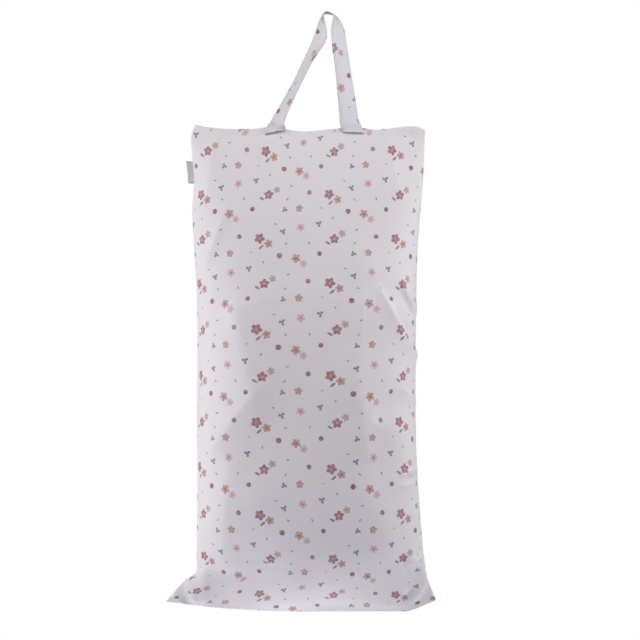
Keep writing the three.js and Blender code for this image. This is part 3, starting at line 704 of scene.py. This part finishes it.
bagKnit = laminatedKnit("printed laminated knit", knit["ground"], 0.5)
frontPanel, frontSpots, frontGrid = panelMesh("frontPanel", -1)
backPanel, backSpots, backGrid = panelMesh("backPanel", 1)
addCloth(frontPanel, frontSpots)
addCloth(backPanel, backSpots)
for step in range(1, settle["frames"] + 1):
    bpy.context.scene.frame_set(step)
frontGrid = settledGrid(frontPanel, frontSpots, frontGrid)
backGrid = settledGrid(backPanel, backSpots, backGrid)
for panel in (frontPanel, backPanel):
    panel.modifiers.clear()
    panel.shape_key_clear()
bpy.context.scene.frame_set(1)
print("cloth settled")
closeSeams(frontGrid, backGrid)
finePanel(frontPanel, frontSpots, frontGrid, -1, frontFolds)
finePanel(backPanel, backSpots, backGrid, 1, backFolds)
for panel, node in ((frontPanel, "front_panel"), (backPanel, "back_panel")):
    panel.data.materials.append(bagKnit)
    solidify(panel, bag["wall"])
    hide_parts(node)
    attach(panel, "root")
print("panels done")

strap = {
    "width": 0.030,
    "wall": 0.0022,
    "span": 0.117,           # between the middles of its two ends, about
    "hangShare": 0.28,       # hang point right of the span's middle, in half spans
    "lap": 0.009,            # how far an end reaches down the front
    "turnedUnder": 1.15,     # thickness of an end, in walls
    "stations": 220,
    "around": 40,
    "edgePower": 12,         # how squarely the tube's two edges are rounded
    "cupDepth": 0.003,       # hollow across the face where cup is 1
    "creaseRound": 0.0012,   # length over which the fold turns
    "endTilt": {"left": 11.0, "right": 3.0},
    "endReach": 0.016,       # how far from its end the strap turns flat against the bag
    "clearAbove": 0.004,     # it is kept off the bag up to this height above the mouth
}
stitching = {
    "thread": "#D6CFD9",
    "fromEdge": 0.0026,
    "halfWide": 0.0004,
    "stride": 0.0028,
    "threadShare": 0.72,
    # Each end of the strap gets a painted shadow line: its colour turns to a dark grey in the
    # last millimetre or so, as the shade under the turned-under end.
    "endShadowColour": "#8A858F",
    "endShadowFrom": 0.0009,      # the dark line at each end fades between these
    "endShadowTo": 0.0013,
    "printShift": (31.0, 47.0),  # millimetres, so that the strap shows another cut
    "relief": 0.15,
}
plainRow = dict(cup=0.0, lean=0, crease=0.2, ply=1.0)
# The strap's middle line over the top, in half spans and shares of its drop. A row says only
# what differs from the plain one. Turn is how far its face is turned sideways, cup how far
# it is hollowed, and lean how far its left part is folded back along the crease, which lies
# this share of the width from the middle.
strapRows = [
    dict(across=-0.94, down=0.985, forward=1.0, turn=40),
    dict(across=-0.875, down=0.92, forward=0.97, turn=50),
    dict(across=-0.8, down=0.865, forward=0.95, turn=55),
    dict(across=-0.61, down=0.736, forward=0.85, turn=61),
    dict(across=-0.355, down=0.564, forward=0.7, turn=65),
    dict(across=-0.165, down=0.425, forward=0.5, turn=62, cup=0.3),
    dict(across=0.0, down=0.322, forward=0.35, turn=57, cup=1.0),
    dict(across=0.155, down=0.218, forward=0.2, turn=50, cup=1.0),
    dict(across=0.185, down=0.115, forward=0.1, turn=64, cup=0.3),
    dict(across=0.21, down=0.035, forward=0.0, turn=84, crease=0.1),
    dict(across=0.28, down=0.0, forward=0.0, turn=90, crease=0.0),
    dict(across=0.38, down=0.0, forward=0.0, turn=90, crease=0.0),
    dict(across=0.51, down=0.02, forward=0.0, turn=84),
    dict(across=0.565, down=0.06, forward=0.03, turn=70),
    dict(across=0.6, down=0.12, forward=0.1, turn=54, lean=4),
    dict(across=0.622, down=0.19, forward=0.18, turn=48, lean=8),
    dict(across=0.66, down=0.3, forward=0.33, turn=46, lean=12),
    dict(across=0.697, down=0.376, forward=0.43, turn=46, lean=14),
    dict(across=0.745, down=0.5, forward=0.62, turn=45, lean=14),
    dict(across=0.788, down=0.623, forward=0.76, turn=40, lean=14, crease=0.22),
    dict(across=0.831, down=0.747, forward=0.86, turn=34, lean=14, crease=0.24),
    dict(across=0.871, down=0.87, forward=0.95, turn=29, lean=12, crease=0.26),
    dict(across=0.896, down=0.95, forward=1.0, turn=23, lean=8, crease=0.26),
]


def treeOf(piece):
    mesh = piece.data
    corners = [vert.co.copy() for vert in mesh.vertices]
    return BVHTree.FromPolygons(corners, [tuple(p.vertices) for p in mesh.polygons])


frontTree = treeOf(frontPanel)


def frontFaceY(x, z):
    hit = frontTree.ray_cast(Vector((x, -1.0, z)), Vector((0, 1, 0)))[0]
    return hit.y if hit else 0.0


def mouthEdgeZ(x):
    half = bag["flatWidth"] / 2
    side = "left" if x < bag["middle"] else "right"
    across = (x - bag["middle"]) / (half * sectionAt(0.0, side))
    return bag["mouthZ"] + bag["mouthWave"] * float(readRows(mouthRows, "across", across, "rise"))


def strapLine():
    # evenly spaced stations along the strap's middle, from its left end over the top
    middleX = -strap["hangShare"] * strap["span"] / 2
    drop = -bag["mouthZ"]

    def endRow(across):
        x = middleX + across * strap["span"] / 2
        down = (strap["lap"] - mouthEdgeZ(x)) / drop
        return dict(across=across, down=down, forward=1.0, turn=0, crease=0.26,
                    ply=strap["turnedUnder"])

    rows = [endRow(-0.97), *strapRows, endRow(1.0)]
    rows = [{**plainRow, **row, "order": float(order)} for order, row in enumerate(rows)]
    order = np.linspace(0, len(rows) - 1, strap["stations"] * 4)
    line = {key: readRows(rows, "order", order, key)
            for key in rows[0] if key != "order"}
    x = middleX + line["across"] * strap["span"] / 2
    z = strap["wall"] / 2 - line["down"] * drop
    seat = bag["seamGap"] + strap["wall"] / 2
    edgeY = np.array([frontFaceY(px, mouthEdgeZ(px) - 0.001) - seat for px in x])
    points = np.stack([x, line["forward"] * edgeY, z], axis=1)
    length = lengthAlong(points)
    even = np.linspace(0, length[-1], strap["stations"] + 1)
    centre = pointsAt(even, length, points)
    stations = {key: np.interp(even, length, line[key]) for key in line}
    stations["place"] = even
    stations["centre"] = centre
    stations["along"] = np.gradient(centre, even, axis=0)
    return stations


def strapFrame(stations, index):
    # the strap's crosswise direction and its face's at one station
    tangent = Vector(stations["along"][index]).normalized()
    turn = math.radians(stations["turn"][index])
    level = Vector((tangent.z, 0, -tangent.x)).normalized()
    wide = level * math.cos(turn) - Vector((0, math.sin(turn), 0))
    wide = (wide - tangent * wide.dot(tangent)).normalized()
    face = wide.cross(tangent)
    place, whole = stations["place"][index], stations["place"][-1]
    nearEnd = max(0.0, 1 - min(place, whole - place) / strap["endReach"])
    nearEnd = nearEnd * nearEnd * (3 - 2 * nearEnd)
    onLeft = place < whole / 2
    tilt = math.radians(strap["endTilt"]["left" if onLeft else "right"])
    endWide = Vector((math.cos(tilt) if onLeft else -math.cos(tilt), 0, math.sin(tilt)))
    wide = wide.lerp(endWide, nearEnd).normalized()
    face = face.lerp(Vector((0, -1, 0)), nearEnd).normalized()
    return wide, face


def strapPoint(stations, index, round01):
    # round01 runs once round the flat tube: across its face and back across its back
    width = strap["width"]
    onFace = round01 < 0.5
    aside = width / 2 - 2 * width * round01 if onFace else 2 * width * round01 - 1.5 * width
    full = math.sqrt(max(0.0, 1 - abs(2 * aside / width) ** strap["edgePower"]))
    layer = (1 if onFace else -1) * full * strap["wall"] / 2 * stations["ply"][index]
    flat = (width / 2 - aside) if onFace else (1.5 * width + aside)
    out = -strap["cupDepth"] * stations["cup"][index] * (1 - (2 * aside / width) ** 2)
    beyond = max(0.0, aside - stations["crease"][index] * width)
    lean = math.radians(stations["lean"][index])
    aside -= beyond * (1 - math.cos(lean))
    out -= beyond * math.sin(lean)
    wide, face = strapFrame(stations, index)
    middle = Vector(stations["centre"][index]) + wide * aside + face * out
    bend = lean * min(1.0, beyond / strap["creaseRound"])
    face = face * math.cos(bend) + wide * math.sin(bend)
    if middle.z < mouthEdgeZ(middle.x) + strap["clearAbove"]:
        seat = frontFaceY(middle.x, min(middle.z, mouthEdgeZ(middle.x) - 0.001))
        limit = seat - bag["seamGap"] - strap["wall"] / 2 * stations["ply"][index]
        middle.y = min(middle.y, limit)
    return middle + face * layer, flat


def strapMesh(name):
    stations = strapLine()
    count, around = strap["stations"], strap["around"]
    bm = bmesh.new()
    bmesh.ops.create_grid(bm, x_segments=around, y_segments=count, size=0.5)
    spots = [(round((vert.co.y + 0.5) * count), vert.co.x + 0.5) for vert in bm.verts]
    placed = [strapPoint(stations, index, min(spot, 0.99999)) for index, spot in spots]
    flat = bm.loops.layers.uv.new("flat")
    for face in bm.faces:
        for loop in face.loops:
            index = loop.vert.index
            u = 2 * strap["width"] if spots[index][1] > 0.999 else placed[index][1]
            loop[flat].uv = (u, float(stations["place"][spots[index][0]]))
    for vert, (point, flatPlace) in zip(bm.verts, placed):
        vert.co = point
    bmesh.ops.remove_doubles(bm, verts=bm.verts[:], dist=1e-6)
    ends = [edge for edge in bm.edges if edge.is_boundary]
    bmesh.ops.holes_fill(bm, edges=ends, sides=0)
    bmesh.ops.recalc_face_normals(bm, faces=bm.faces[:])
    return pieceFrom(bm, name), float(stations["place"][-1])


def strapFinish(length):
    # the same cloth on a ground drawn darker as painted shade, with a stitched line along each
    # edge and a painted shadow line at each end
    # its ground is the darker one, painted shade on the same cloth
    material = laminatedKnit("printed knit strap", knit["strapShadedGround"], stitching["relief"],
                             stitching["printShift"])
    tree = material.node_tree
    shader = next(node for node in tree.nodes if node.type == "BSDF_PRINCIPLED")
    colour = shader.inputs["Base Color"].links[0].from_socket
    parts = flatPlace(tree)[1]
    # painted shadow line: the last millimetre at each end is mixed towards the dark grey
    fromEnd = mathNode(tree, "PINGPONG", parts["Y"], length / 2)
    endShadowMask = addNode(tree, "ShaderNodeMapRange", {"clamp": True},
                    {"Value": fromEnd, "From Min": stitching["endShadowFrom"],
                     "From Max": stitching["endShadowTo"], "To Min": 1.0, "To Max": 0.0}).outputs[0]
    dark = mixNode(tree, endShadowMask, colour, linearColour(stitching["endShadowColour"]))
    fromEdge = mathNode(tree, "PINGPONG", parts["X"], strap["width"] / 2)
    onLine = mathNode(tree, "COMPARE", fromEdge, stitching["fromEdge"], stitching["halfWide"])
    strides = mathNode(tree, "MULTIPLY", parts["Y"], 1 / stitching["stride"])
    threadOn = mathNode(tree, "LESS_THAN", mathNode(tree, "FRACT", strides),
                        stitching["threadShare"])
    stitch = mathNode(tree, "MULTIPLY", onLine, threadOn)
    sewn = mixNode(tree, stitch, dark, linearColour(stitching["thread"]))
    tree.links.new(sewn, shader.inputs["Base Color"])
    return material


handleStrap, strapLength = strapMesh("handleStrap")
handleStrap.data.materials.append(strapFinish(strapLength))
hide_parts("handle_strap")
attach(handleStrap, "root")
print("strap done", round(strapLength, 4))

# The zip, closed, with its slider near the right end and the pull lying back along the coil.
zipper = {
    "sink": 0.005,           # tape below the mouth's edge
    "reach": 0.9,            # share of the mouth that it closes
    "tapeWall": 0.0007,
    "steps": 120,
    "coilWidth": 0.0033,     # one side's coil, which meshes with the other's
    "coilShift": 0.0011,
    "coilRise": 0.0015,
    "pitch": 0.0015,
    "wire": 0.00034,         # radius
    "turnPoints": 12,
    "sliderPlace": 0.74,     # share of the mouth's right half
    "tapeLook": {"face": "#ECE8EF", "shade": "#CFC9D3", "warp": 0.0006, "weft": 0.0005,
                 "edge": 0.0008, "relief": 0.00008, "roughness": 0.7},
    "coilLook": {"face": "#EFECF1", "shade": "#DDD8E0", "mottle": 300.0, "roughness": 0.35,
                 "metal": 0.0, "coat": 0.1},
    "sliderLook": {"face": "#E6E2E8", "shade": "#D5D0D8", "mottle": 500.0,
                   "roughness": 0.3, "metal": 0.35, "coat": 0.5},
}
backTree = treeOf(backPanel)


def zipPlace(x):
    # the tape's top, and how far it reaches to the cloth before it and behind it
    top = mouthEdgeZ(x) - zipper["sink"]
    middle = float(sway(x, top))
    start = Vector((x, middle, top))
    before = frontTree.ray_cast(start, Vector((0, -1, 0)))[0]
    behind = backTree.ray_cast(start, Vector((0, 1, 0)))[0]
    clear = bag["wall"] + bag["seamGap"]
    return middle, top, before.y + clear, behind.y - clear


def gridPiece(name, columns, rows, placed):
    # a piece from a grid of points: placed gives a point and its place on the flat cloth
    bm = bmesh.new()
    bmesh.ops.create_grid(bm, x_segments=columns, y_segments=rows, size=0.5)
    found = [placed(vert.co.x + 0.5, vert.co.y + 0.5) for vert in bm.verts]
    flat = bm.loops.layers.uv.new("flat")
    for face in bm.faces:
        for loop in face.loops:
            loop[flat].uv = found[loop.vert.index][1]
    for vert, (point, _) in zip(bm.verts, found):
        vert.co = point
    bmesh.ops.remove_doubles(bm, verts=bm.verts[:], dist=1e-6)
    bmesh.ops.recalc_face_normals(bm, faces=bm.faces[:])
    return pieceFrom(bm, name)


def zipSpan():
    left = bag["middle"] - zipper["reach"] * sectionAt(0.01, "left") * bag["flatWidth"] / 2
    right = bag["middle"] + zipper["reach"] * sectionAt(0.01, "right") * bag["flatWidth"] / 2
    return left, right


def zipTapePoint(across, along):
    left, right = zipSpan()
    x = left + along * (right - left)
    _, top, before, behind = zipPlace(x)
    y = before + across * (behind - before)
    return Vector((x, y, top)), (across * bag["mouthDepth"], x - left)


def zipCoilPiece(name, side):
    left, right = zipSpan()
    turns = round((right - left) / zipper["pitch"])
    count = turns * zipper["turnPoints"]
    wire = zipper["wire"]
    halfWide = zipper["coilWidth"] / 2 - wire
    halfHigh = zipper["coilRise"] / 2 - wire

    def placed(round01, along):
        angle = 2 * math.pi * (along * turns + (0.5 if side > 0 else 0.0)) * side
        x = left + along * (right - left)
        middle, top = zipPlace(x)[:2]
        centre = Vector((x, middle + side * zipper["coilShift"], top + zipper["coilRise"] / 2))
        spoke = Vector((0, math.cos(angle), math.sin(angle)))
        centre += Vector((0, spoke.y * halfWide, spoke.z * halfHigh))
        wound = 2 * math.pi * round01
        ring = spoke * math.cos(wound) + Vector((1, 0, 0)) * math.sin(wound)
        return centre + ring * wire, (round01, along)
    return gridPiece(name, 6, count, placed)


# The slider and its pull as rounded blocks. Sizes and places are millimetres, from the
# slider's middle on the tape. Taper narrows or widens a block's left end.
sliderBlocks = [
    dict(size=(9.8, 0.7, 1.8), place=(0, -3.2, 1.3), bevel=0.2),
    dict(size=(9.8, 0.7, 1.8), place=(0, 3.2, 1.3), bevel=0.2),
    dict(size=(11, 7.4, 0.8), place=(0, 0, 2.3), bevel=0.3, taper=0.72),
    dict(size=(1.1, 1.6, 1.4), place=(-2.8, 0, 3.1), bevel=0.3),
    dict(size=(1.1, 1.6, 1.4), place=(2.8, 0, 3.1), bevel=0.3),
    dict(size=(6.7, 1.6, 0.7), place=(0, 0, 3.8), bevel=0.3),
    dict(size=(5.6, 0.9, 0.8), place=(-3.2, -1.5, 3.1), bevel=0.2),
    dict(size=(5.6, 0.9, 0.8), place=(-3.2, 1.5, 3.1), bevel=0.2),
    dict(size=(0.9, 3.9, 0.8), place=(-0.4, 0, 3.1), bevel=0.2),
    dict(size=(14, 4.5, 0.9), place=(-12.5, 0, 3.1), bevel=0.3, taper=1.12),
]


def addBlock(bm, size, place, bevel, taper=1.0):
    made = bmesh.ops.create_cube(bm, size=1.0)["verts"]
    for vert in made:
        narrow = taper if vert.co.x < 0 else 1.0
        vert.co = Vector((vert.co.x * size[0], vert.co.y * size[1] * narrow,
                          vert.co.z * size[2])) * 0.001 + place
    edges = list({edge for vert in made for edge in vert.link_edges})
    bmesh.ops.bevel(bm, geom=edges, offset=bevel * 0.001, segments=3, affect="EDGES",
                    profile=0.5)


def sliderPiece(name):
    x = bag["middle"] + zipper["sliderPlace"] * sectionAt(0.0, "right") * bag["flatWidth"] / 2
    middle, top = zipPlace(x)[:2]
    bm = bmesh.new()
    for block in sliderBlocks:
        place = Vector((x, middle, top)) + Vector(block["place"]) * 0.001
        addBlock(bm, block["size"], place, block["bevel"], block.get("taper", 1.0))
    return pieceFrom(bm, name)


zipTape = gridPiece("zipTape", 8, zipper["steps"], zipTapePoint)
zipTape.data.materials.append(wovenFinish("zip tape", zipper["tapeLook"], bag["mouthDepth"]))
solidify(zipTape, zipper["tapeWall"])
zipLeft, zipRight = zipSpan()
coilNylon = mouldedFinish("zip nylon", zipper["coilLook"])
frontCoil = zipCoilPiece("frontCoil", -1)
backCoil = zipCoilPiece("backCoil", 1)
for coil in (frontCoil, backCoil):
    coil.data.materials.append(coilNylon)
zipSlider = sliderPiece("zipSlider")
zipSlider.data.materials.append(mouldedFinish("enamelled slider", zipper["sliderLook"]))
for piece in (zipTape, frontCoil, backCoil, zipSlider):
    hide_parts("zip_closure")
    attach(piece, "root")
print("zip done")

# The folded woven label in the left seam, plain on both sides.
label = {
    "reach": 0.009,
    "height": 0.0325,
    "down": 0.0475,          # mouth to its upper edge
    "ply": 0.0004,
    "foldRadius": 0.0004,    # of the middle of the cloth where it folds
    "cut": 0.0025,           # lower outer corner, drawn in
    "wave": 0.0006,          # how far its fold wanders forwards and back
    "look": {"face": "#E6E1E4", "shade": "#BDB8BC", "warp": 0.0007, "weft": 0.0005,
             "edge": 0.0016, "relief": 0.00006, "roughness": 0.5},
}


def labelPoint(across, along):
    # across runs up the label, and along out to its fold and back again
    height, radius = label["height"], label["foldRadius"]
    z = bag["mouthZ"] - label["down"] - height * (1 - across)
    down = (bag["mouthZ"] - z) / bag["height"]
    seamX = bag["middle"] - sectionAt(down, "left") * bag["flatWidth"] / 2
    drawn = max(0.0, 1 - across * height / label["cut"])
    reach = label["reach"] - radius - label["cut"] * drawn
    length = 2 * reach + math.pi * radius
    gone = along * length
    if gone < reach:
        out, aside = gone, -radius
    elif gone > reach + math.pi * radius:
        out, aside = length - gone, radius
    else:
        angle = (gone - reach) / radius
        out, aside = reach + radius * math.sin(angle), -radius * math.cos(angle)
    wave = label["wave"] * math.sin(5 * across + 1)
    y = float(sway(seamX, z)) + aside + wave * out / reach
    return Vector((seamX - bag["seamGap"] - out, y, z)), (across * height, gone)


sideLabel = gridPiece("sideLabel", 24, 48, labelPoint)
sideLabel.data.materials.append(wovenFinish("woven label", label["look"], label["height"]))
labelWall = solidify(sideLabel, label["ply"])
labelWall.offset = 0
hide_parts("side_label")
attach(sideLabel, "root")
print("label done")

# Camera, square on to the front as the picture is, through a long lens.
view = {
    "scale": 0.00147,        # metres for one pixel of a 640 pixel picture, at the seams
    "hangX": 325.0,          # the hang point in that picture
    "hangY": 13.6,
    "pixels": 640.0,
    "distance": 4.5,
    "sensor": 0.036,
}


def addCamera():
    data = bpy.data.cameras.new("camera")
    camera = bpy.data.objects.new("camera", data)
    bpy.context.scene.collection.objects.link(camera)
    middle = view["pixels"] / 2
    x = (middle - view["hangX"]) * view["scale"]
    z = (view["hangY"] - middle) * view["scale"]
    camera.location = (x, -view["distance"], z)
    camera.rotation_euler = (math.radians(90), 0, 0)
    data.sensor_width = view["sensor"] * 1000
    data.lens = data.sensor_width * view["distance"] / (view["pixels"] * view["scale"])
    data.clip_end = 100
    bpy.context.scene.camera = camera


# White all round. The light comes from soft boxes beside, above, below and behind the bag.
tent = {
    "boxColour": "#FFFFFF",
    "white": 1.0,            # what the eye sees behind the bag
    "ambient": 0.02,         # what the tent itself adds to the light
}
softBoxes = [
    dict(name="left box", x=-1.4, y=-0.5, z=-0.55, aim=-0.55, wide=0.9, high=1.4, power=13.8),
    dict(name="right box", x=1.4, y=-0.5, z=-0.25, aim=-0.35, wide=0.9, high=0.9, power=12.5),
    dict(name="top box", x=0.0, y=-0.8, z=0.6, aim=-0.3, wide=1.2, high=0.7, power=8.0),
    dict(name="low bounce", x=0.0, y=-0.5, z=-1.55, aim=-0.8, wide=1.2, high=0.7, power=3.8,
         colour="#EEF0FF"),
    dict(name="rear left", x=-1.2, y=0.45, z=-0.55, aim=-0.55, wide=0.8, high=1.3, power=4.4),
    dict(name="rear right", x=1.2, y=0.45, z=-0.5, aim=-0.5, wide=0.8, high=1.2, power=2.6),
    dict(name="rear low", x=0.0, y=0.25, z=-1.6, aim=-0.85, wide=1.1, high=0.7, power=7.0),
]


def addTent():
    world = bpy.data.worlds.new("white tent")
    bpy.context.scene.world = world
    world.use_nodes = True
    tree = world.node_tree
    tree.nodes.clear()
    lighting = addNode(tree, "ShaderNodeBackground", None,
                       {"Color": (1, 1, 1, 1), "Strength": tent["ambient"]}).outputs[0]
    backdrop = addNode(tree, "ShaderNodeBackground", None,
                       {"Color": (1, 1, 1, 1), "Strength": tent["white"]}).outputs[0]
    seen = addNode(tree, "ShaderNodeLightPath").outputs["Is Camera Ray"]
    mixed = addNode(tree, "ShaderNodeMixShader", None,
                    {0: seen, 1: lighting, 2: backdrop}).outputs[0]
    addNode(tree, "ShaderNodeOutputWorld", None, {"Surface": mixed})


def addSoftBox(box):
    data = bpy.data.lights.new(box["name"], "AREA")
    data.shape = "RECTANGLE"
    data.size = box["wide"]
    data.size_y = box["high"]
    data.energy = box["power"]
    data.color = linearColour(box.get("colour", tent["boxColour"]))[:3]
    light = bpy.data.objects.new(box["name"], data)
    bpy.context.scene.collection.objects.link(light)
    light.location = (box["x"], box["y"], box["z"])
    towards = Vector((0, 0, box["aim"])) - light.location
    light.rotation_euler = towards.to_track_quat("-Z", "Y").to_euler()


addCamera()
addTent()
for box in softBoxes:
    addSoftBox(box)
bpy.context.scene.view_settings.view_transform = "Standard"
